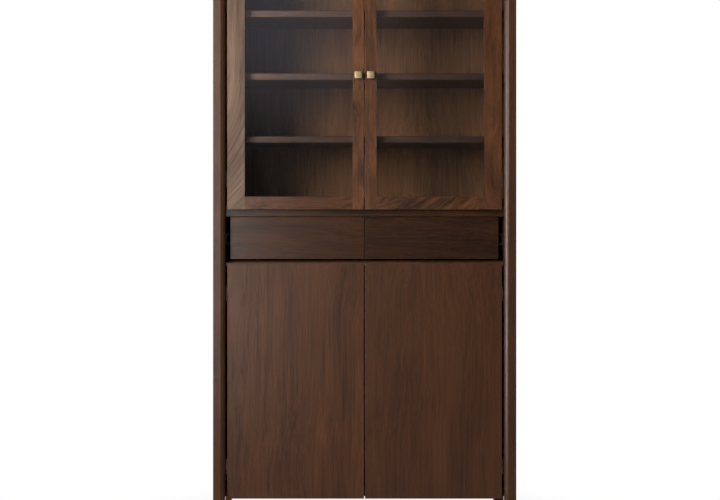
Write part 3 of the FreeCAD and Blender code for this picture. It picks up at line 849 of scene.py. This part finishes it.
metal, given, result = new_group(
    "metal_surface",
    {"Vector": "Vector", "Bright": "Color", "Dull": "Color", "Gloss": "Float"},
    {"Color": "Color", "Roughness": "Float", "Height": "Float"},
)
stretched = vector_of(metal, "MULTIPLY", given["Vector"], DRAWN_LINES)
drawn = noise_of(metal, stretched, scale=1.0, detail=2.0)
clouds = noise_of(metal, given["Vector"], scale=60.0, detail=4.0)
tarnish = ramp_of(metal, clouds, *TARNISH_EDGE)
feed(metal, mix_of(metal, tarnish, given["Bright"], given["Dull"]), result["Color"])
grit = sum_of(metal, "MULTIPLY_ADD", drawn, DRAWN_ROUGHNESS, given["Gloss"])
feed(metal, sum_of(metal, "MULTIPLY_ADD", tarnish, TARNISH_ROUGHNESS, grit), result["Roughness"])
feed(metal, drawn, result["Height"])
print("metal surface nodes:", len(metal.nodes))

# %% [markdown]
# The knobs and shelf brackets are brass, the hinges nickel-plated steel, and the slides plain zinc, which is
# duller. Each is the metal group under a shader with full Metallic. A bump of a tenth of a millimetre makes
# the drawn lines catch the light.

# %% Metals
def metal_finish(name, bright, dull, gloss):
    finish, tree, shader, point = principled(name)
    surface = put_group(tree, metal, Vector=point, Bright=bright, Dull=dull, Gloss=gloss).outputs
    bump = put(tree, "ShaderNodeBump", Strength=0.08, Distance=0.1 * MM, Height=surface["Height"])
    fill(tree, shader, {
        "Base Color": surface["Color"],
        "Roughness": surface["Roughness"],
        "Normal": bump.outputs[0],
        "Metallic": 1.0,
    })
    return finish


brass = metal_finish("satin_brass", colour(166, 145, 108), colour(146, 127, 95), gloss=0.40)
nickel = metal_finish("nickel_steel", colour(160, 157, 152), colour(132, 129, 125), gloss=0.30)
zinc = metal_finish("zinc_steel", colour(126, 127, 130), colour(102, 103, 106), gloss=0.40)
print("metals:", brass.name, nickel.name, zinc.name)

# %% [markdown]
# The catches and the glides under the posts are dark plastic, pebbled by its mould, and paler and duller
# where it is scuffed. A fine noise makes the pebbles, which go into the bump, and a coarse one the scuffs.

# %% Dark plastic
PLASTIC_PLAIN = colour(38, 35, 33)
PLASTIC_SCUFFED = colour(54, 50, 47)
SCUFF_EDGE = (0.4, 0.75)
DULL_EDGE = (0.3, 0.8)
DULL_ROUGHNESS = (0.45, 0.62)

dark_plastic, tree, shader, point = principled("dark_plastic")
pebble = noise_of(tree, point, scale=900.0, detail=2.0)
scuff = noise_of(tree, point, scale=45.0, detail=4.0)
bump = put(tree, "ShaderNodeBump", Strength=0.2, Distance=0.1 * MM, Height=pebble)
fill(tree, shader, {
    "Base Color": mix_of(tree, ramp_of(tree, scuff, *SCUFF_EDGE), PLASTIC_PLAIN, PLASTIC_SCUFFED),
    "Roughness": ramp_of(tree, scuff, *DULL_EDGE, *DULL_ROUGHNESS),
    "Normal": bump.outputs[0],
})
print("plastic nodes:", len(tree.nodes))

# %% [markdown]
# The fittings of the cabinet are already there as solids, so they only need their finish. A table says which
# one each gets, and what repeats on the left and the right is added to it in a loop.

# %% Dress the fittings
SIDES = ("left", "right")
ROWS = ("glass_door", "lower_door")
FITTINGS = {
    "hinge_arms": nickel,
    "hinge_mounting_plates": nickel,
    "drawer_slide_channels": zinc,
    "shelf_supports": brass,
    "magnetic_catches": dark_plastic,
    "floor_glides": dark_plastic,
}
for side in SIDES:
    FITTINGS[f"drawer_{side}_slides"] = zinc
    FITTINGS[f"glass_door_{side}_knob"] = brass
    for row in ROWS:
        FITTINGS[f"{row}_{side}_hinge_cups"] = nickel
        FITTINGS[f"{row}_{side}_hinge_pins"] = nickel
for name, finish in FITTINGS.items():
    coat(nodes[name], finish)
print("fittings dressed:", len(FITTINGS))

# %% [markdown]
# The next pieces are modelled as by hand. An operator acts on whatever is selected, so each piece starts
# with nothing else selected. A box or a disc is added at its size and place, and faces are then picked in
# edit mode by the way they look.

# %% Helpers that start and pick
def only(piece):
    if bpy.context.mode != "OBJECT":
        bpy.ops.object.mode_set(mode="OBJECT")
    bpy.ops.object.select_all(action="DESELECT")
    piece.select_set(True)
    bpy.context.view_layer.objects.active = piece


def started(name, size=(1, 1, 1)):
    piece = bpy.context.object
    piece.name = name
    piece.scale = size
    bpy.ops.object.transform_apply(location=True, rotation=True, scale=True)
    return piece


def start_cube(name, size, place):
    bpy.ops.object.select_all(action="DESELECT")
    bpy.ops.mesh.primitive_cube_add(size=1, location=place)
    return started(name, size)


def start_disc(name, radius, depth, place, corners):
    bpy.ops.object.select_all(action="DESELECT")
    bpy.ops.mesh.primitive_cylinder_add(vertices=corners, radius=radius, depth=depth, location=place)
    return started(name)


def pick(piece, wanted):
    only(piece)
    bpy.ops.object.mode_set(mode="EDIT")
    bpy.ops.mesh.select_mode(type="FACE")
    bpy.ops.mesh.select_all(action="DESELECT")
    bpy.ops.object.mode_set(mode="OBJECT")
    for face in piece.data.polygons:
        face.select = wanted(face)
    bpy.ops.object.mode_set(mode="EDIT")


print("helpers that start and pick are ready")

# %% [markdown]
# A real edge is never quite sharp, and only a rounded one catches the light, so a bevel goes on every edge
# that turns by more than a set angle. The other two helpers join pieces into one object, and copy a piece
# with a mesh of its own, so that what repeats is modelled once.

# %% Helpers that finish and repeat
SHARP = math.radians(40)
SMOOTH = math.radians(35)


def round_edges(piece, width, steps):
    only(piece)
    rounding = piece.modifiers.new("rounding", "BEVEL")
    rounding.width = width
    rounding.segments = steps
    rounding.limit_method = "ANGLE"
    rounding.angle_limit = SHARP
    bpy.ops.object.modifier_apply(modifier=rounding.name)
    bpy.ops.object.shade_smooth_by_angle(angle=SMOOTH)


def join(pieces):
    only(pieces[0])
    for piece in pieces[1:]:
        piece.select_set(True)
    bpy.ops.object.join()
    return bpy.context.object


def copy_of(piece, name, shift=(0, 0, 0)):
    twin = bpy.data.objects.new(name, piece.data.copy())
    bpy.context.scene.collection.objects.link(twin)
    twin.data.transform(Matrix.Translation(shift))
    return twin


print("edges are rounded above", round(math.degrees(SHARP)), "degrees")

# %% [markdown]
# The knobs are solid brass, with a square head that has a shallow pillow on its face. The head could be a
# cube and no more, but the pillow is what gives the photographed knob its soft gradient. So the front of a
# cube is inset and pulled out, and the edges are rounded.

# %% Head of the knob
FACING_SO = 0.9
NECK_LENGTH = 5 * MM
PILLOW = 0.7 * MM
PILLOW_MARGIN = 2.6 * MM
BACK_MARGIN = 3.5 * MM
HEAD_ROUNDING = 0.8 * MM

low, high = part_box("glass_door_left_knob")
knob_x = (low.x + high.x) / 2
knob_z = (low.z + high.z) / 2
knob_size = high.x - low.x
head_back = high.y - NECK_LENGTH
head_depth = head_back - low.y - PILLOW
head = start_cube(
    "glass_door_left_brass_knob",
    (knob_size, head_depth, knob_size),
    (knob_x, head_back - head_depth / 2, knob_z),
)
pick(head, lambda face: face.normal.y < -FACING_SO)
bpy.ops.mesh.inset(thickness=PILLOW_MARGIN)
bpy.ops.transform.translate(value=(0, -PILLOW, 0))
pick(head, lambda face: face.normal.y > FACING_SO)
bpy.ops.mesh.inset(thickness=BACK_MARGIN)
bpy.ops.object.mode_set(mode="OBJECT")
round_edges(head, HEAD_ROUNDING, steps=3)
print("knob head faces:", len(head.data.polygons))

# %% [markdown]
# A short round neck carries the head and spreads into a collar at the stile. A spin could turn it from a
# profile, as a lathe does, but a disc that is extruded twice is quicker: once while it widens, and once
# straight for the rim. It is made at the origin and put behind the head. The right knob is a copy.

# %% Neck of the knob
NECK_RADIUS = 5 * MM
NECK_ROUNDING = 0.2 * MM
COLLAR_FLARE = 0.6 * MM
COLLAR_RIM = 0.4 * MM
COLLAR_SPREAD = 1.3

straight = NECK_LENGTH - COLLAR_FLARE - COLLAR_RIM
neck = start_disc("neck", NECK_RADIUS, straight, (0, 0, 0), corners=48)
pick(neck, lambda face: face.normal.z < -FACING_SO)
bpy.ops.mesh.extrude_region_move(TRANSFORM_OT_translate={"value": (0, 0, -COLLAR_FLARE)})
bpy.ops.transform.resize(value=(COLLAR_SPREAD, COLLAR_SPREAD, 1))
bpy.ops.mesh.extrude_region_move(TRANSFORM_OT_translate={"value": (0, 0, -COLLAR_RIM)})
bpy.ops.object.mode_set(mode="OBJECT")
round_edges(neck, NECK_ROUNDING, steps=2)
neck.data.transform(Matrix.Rotation(math.radians(90), 4, "X"))
neck.data.transform(Matrix.Translation((knob_x, head_back + straight / 2, knob_z)))
knob_left = join([head, neck])
knob_right = copy_of(knob_left, "glass_door_right_brass_knob", (-2 * knob_x, 0, 0))
for side, knob in (("left", knob_left), ("right", knob_right)):
    coat(knob, brass)
    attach(knob, f"glass_door_{side}")
    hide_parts(f"glass_door_{side}_knob")
print("knob faces:", len(knob_left.data.polygons))

# %% [markdown]
# Every fitting is held by cross-head screws. A thread that nobody sees isn't needed, so only the head is
# modelled, once: a disc whose top is inset twice and raised into a low dome, with a cross cut out of it by
# two crossed bars.

# %% One screw head
HEAD_RADIUS = 3.2 * MM
RIM_HEIGHT = 0.7 * MM
DOME_RISES = ((0.5 * MM, 0.3 * MM), (0.9 * MM, 0.15 * MM))
RECESS_LENGTH = 3.4 * MM
RECESS_WIDTH = 0.7 * MM
BAR_HEIGHT = 1.0 * MM
BAR_MIDDLE = 1.05 * MM

screw = start_disc("screw_head", HEAD_RADIUS, RIM_HEIGHT, (0, 0, RIM_HEIGHT / 2), corners=24)
pick(screw, lambda face: face.normal.z > FACING_SO)
for margin, rise in DOME_RISES:
    bpy.ops.mesh.inset(thickness=margin)
    bpy.ops.transform.translate(value=(0, 0, rise))
bpy.ops.object.mode_set(mode="OBJECT")
for bar_size in ((RECESS_LENGTH, RECESS_WIDTH, BAR_HEIGHT), (RECESS_WIDTH, RECESS_LENGTH, BAR_HEIGHT)):
    bar = start_cube("bar", bar_size, (0, 0, BAR_MIDDLE))
    only(screw)
    cut = screw.modifiers.new("recess", "BOOLEAN")
    cut.operation = "DIFFERENCE"
    cut.object = bar
    bpy.ops.object.modifier_apply(modifier=cut.name)
    bpy.data.objects.remove(bar)
only(screw)
bpy.ops.object.shade_smooth_by_angle(angle=SMOOTH)
print("screw head faces:", len(screw.data.polygons))

# %% [markdown]
# The screws sit where a fitter would put them: two on the flange of each hinge cup, two on the wings of its
# mounting plate and two on its arm. Places typed in as numbers would leave them in the air if a fitting
# moved, so they are worked out from the boxes of the fittings.

# %% Screws on the hinges
CUP_MIDDLE = 388.5 * MM
CUP_END = 27 * MM
EAR_REACH = 22.5 * MM
WING_REACH = 17 * MM
WING_DEPTH = 3 * MM
ARM_THICKNESS = 2.5 * MM
ARM_SCREWS = (6 * MM, 20 * MM)
screw_places = {}


def screw_at(body, place, facing, scale=1.0):
    screw_places.setdefault(body, []).append((Vector(place), facing, scale))


def hinge_screws(door, hand, inwards):
    cup_low, cup_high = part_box(f"{door}_hinge_cups")
    plate_low, plate_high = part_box("hinge_mounting_plates")
    arm_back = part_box("hinge_arms")[1].y
    plate_middle = (plate_low.y + plate_high.y) / 2
    plate_face = plate_high.x - WING_DEPTH
    arm_face = plate_face - ARM_THICKNESS
    for height in (cup_low.z + CUP_END, cup_high.z - CUP_END):
        for step in (-1, 1):
            flange = (hand * CUP_MIDDLE, cup_high.y, height + step * EAR_REACH)
            screw_at(door, flange, "back", scale=0.95)
            wing = (hand * plate_face, plate_middle, height + step * WING_REACH)
            screw_at("cabinet", wing, inwards)
        for from_back in ARM_SCREWS:
            screw_at("cabinet", (hand * arm_face, arm_back - from_back, height), inwards, scale=0.9)


print("flange screws lie", round(EAR_REACH / MM, 1), "mm from the middle of a cup")

# %% [markdown]
# Each shelf bracket has one screw in its upright leaf, and rows of screws hold the back panels to the boards
# behind them: two boards of the lower case, and both sides of the joint between the panels.

# %% Screws on the brackets and the back
BRACKET_LEAF = 2 * MM
BRACKET_DROP = 9.5 * MM
BRACKET_DEPTHS = (-89 * MM, 128 * MM)
SHELVES = ("display_shelf_1", "display_shelf_2", "display_shelf_3", "cupboard_shelf")
BACK_PITCH = 185 * MM
BACK_COLUMNS = range(-2, 3)
JOINT_MARGIN = 5.5 * MM


def bracket_screws(hand, inwards):
    leaf_face = hand * (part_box("shelf_supports")[1].x - BRACKET_LEAF)
    for shelf in SHELVES:
        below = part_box(shelf)[0].z - BRACKET_DROP
        for depth in BRACKET_DEPTHS:
            screw_at("cabinet", (leaf_face, depth, below), inwards, scale=0.75)


def back_screws():
    panel_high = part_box("back_panel_lower")[1]
    lines = [sum(corner.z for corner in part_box(board)) / 2 for board in ("base_panel", "drawer_floor")]
    for line in (*lines, panel_high.z - JOINT_MARGIN, panel_high.z + JOINT_MARGIN):
        for column in BACK_COLUMNS:
            screw_at("cabinet", (column * BACK_PITCH, panel_high.y, line), "back", scale=0.9)


for hand, side, inwards in ((-1, "left", "right"), (1, "right", "left")):
    for row in ROWS:
        hinge_screws(f"{row}_{side}", hand, inwards)
    bracket_screws(hand, inwards)
back_screws()
print("screws:", {body: len(places) for body, places in screw_places.items()})

# %% [markdown]
# Now the head is copied to every place. It is modelled looking up, so each copy is turned to look out of the
# surface that it holds, and about its own axis by an amount of its own, as screws are never lined up. The
# screws of one body are joined into one piece, because they always move together.

# %% Set the screws
FACING = {
    "back": Matrix.Rotation(math.radians(-90), 4, "X"),
    "left": Matrix.Rotation(math.radians(-90), 4, "Y"),
    "right": Matrix.Rotation(math.radians(90), 4, "Y"),
}
TURN_STEP = 37
QUARTER = 90

for body, places in screw_places.items():
    heads = []
    for number, (place, facing, scale) in enumerate(places):
        own_turn = Matrix.Rotation(math.radians(TURN_STEP * number % QUARTER), 4, "Z")
        placing = Matrix.Translation(place) @ FACING[facing] @ own_turn @ Matrix.Scale(scale, 4)
        head = copy_of(screw, f"{body}_screw_{number}")
        head.data.transform(placing)
        heads.append(head)
    screws = join(heads)
    screws.name = f"{body}_screws"
    coat(screws, nickel)
    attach(screws, body)
bpy.data.objects.remove(screw)
print("screw sets:", sorted(screw_places))

# %% [markdown]
# The magnetic catches need something to hold: a thin steel plate on the back of each door, over the magnet's
# face. It could be a plain slip of steel, but pressed plates have a shallow field that keeps them flat, so
# the back is inset and pushed in. The plate of the left door is a copy.

# %% Strike plates
STRIKE_WIDTH = 14 * MM
STRIKE_THICKNESS = 0.35 * MM
STRIKE_MIDDLE = 9.75 * MM
STRIKE_LAP = 12 * MM
STRIKE_MARGIN = 1 * MM
FIELD_MARGIN = 2.2 * MM
FIELD_DEPTH = 0.12 * MM
STRIKE_ROUNDING = 0.1 * MM

catch_low, catch_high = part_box("magnetic_catches")
rail_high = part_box("glass_door_right_top_rail")[1]
panel_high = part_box("lower_door_right_panel")[1]
STRIKES = {
    "glass_door": (rail_high.y, catch_high.z - STRIKE_LAP, rail_high.z - STRIKE_MARGIN),
    "lower_door": (panel_high.y, catch_low.z, catch_low.z + STRIKE_LAP),
}
for row, (door_back, bottom, top) in STRIKES.items():
    strike_right = start_cube(
        f"{row}_right_strike_plate",
        (STRIKE_WIDTH, STRIKE_THICKNESS, top - bottom),
        (STRIKE_MIDDLE, door_back + STRIKE_THICKNESS / 2, (top + bottom) / 2),
    )
    pick(strike_right, lambda face: face.normal.y > FACING_SO)
    bpy.ops.mesh.inset(thickness=FIELD_MARGIN)
    bpy.ops.transform.translate(value=(0, -FIELD_DEPTH, 0))
    bpy.ops.object.mode_set(mode="OBJECT")
    round_edges(strike_right, STRIKE_ROUNDING, steps=2)
    strike_left = copy_of(strike_right, f"{row}_left_strike_plate", (-2 * STRIKE_MIDDLE, 0, 0))
    for side, strike in (("left", strike_left), ("right", strike_right)):
        coat(strike, nickel)
        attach(strike, f"{row}_{side}")
print("strike plates:", 2 * len(STRIKES))
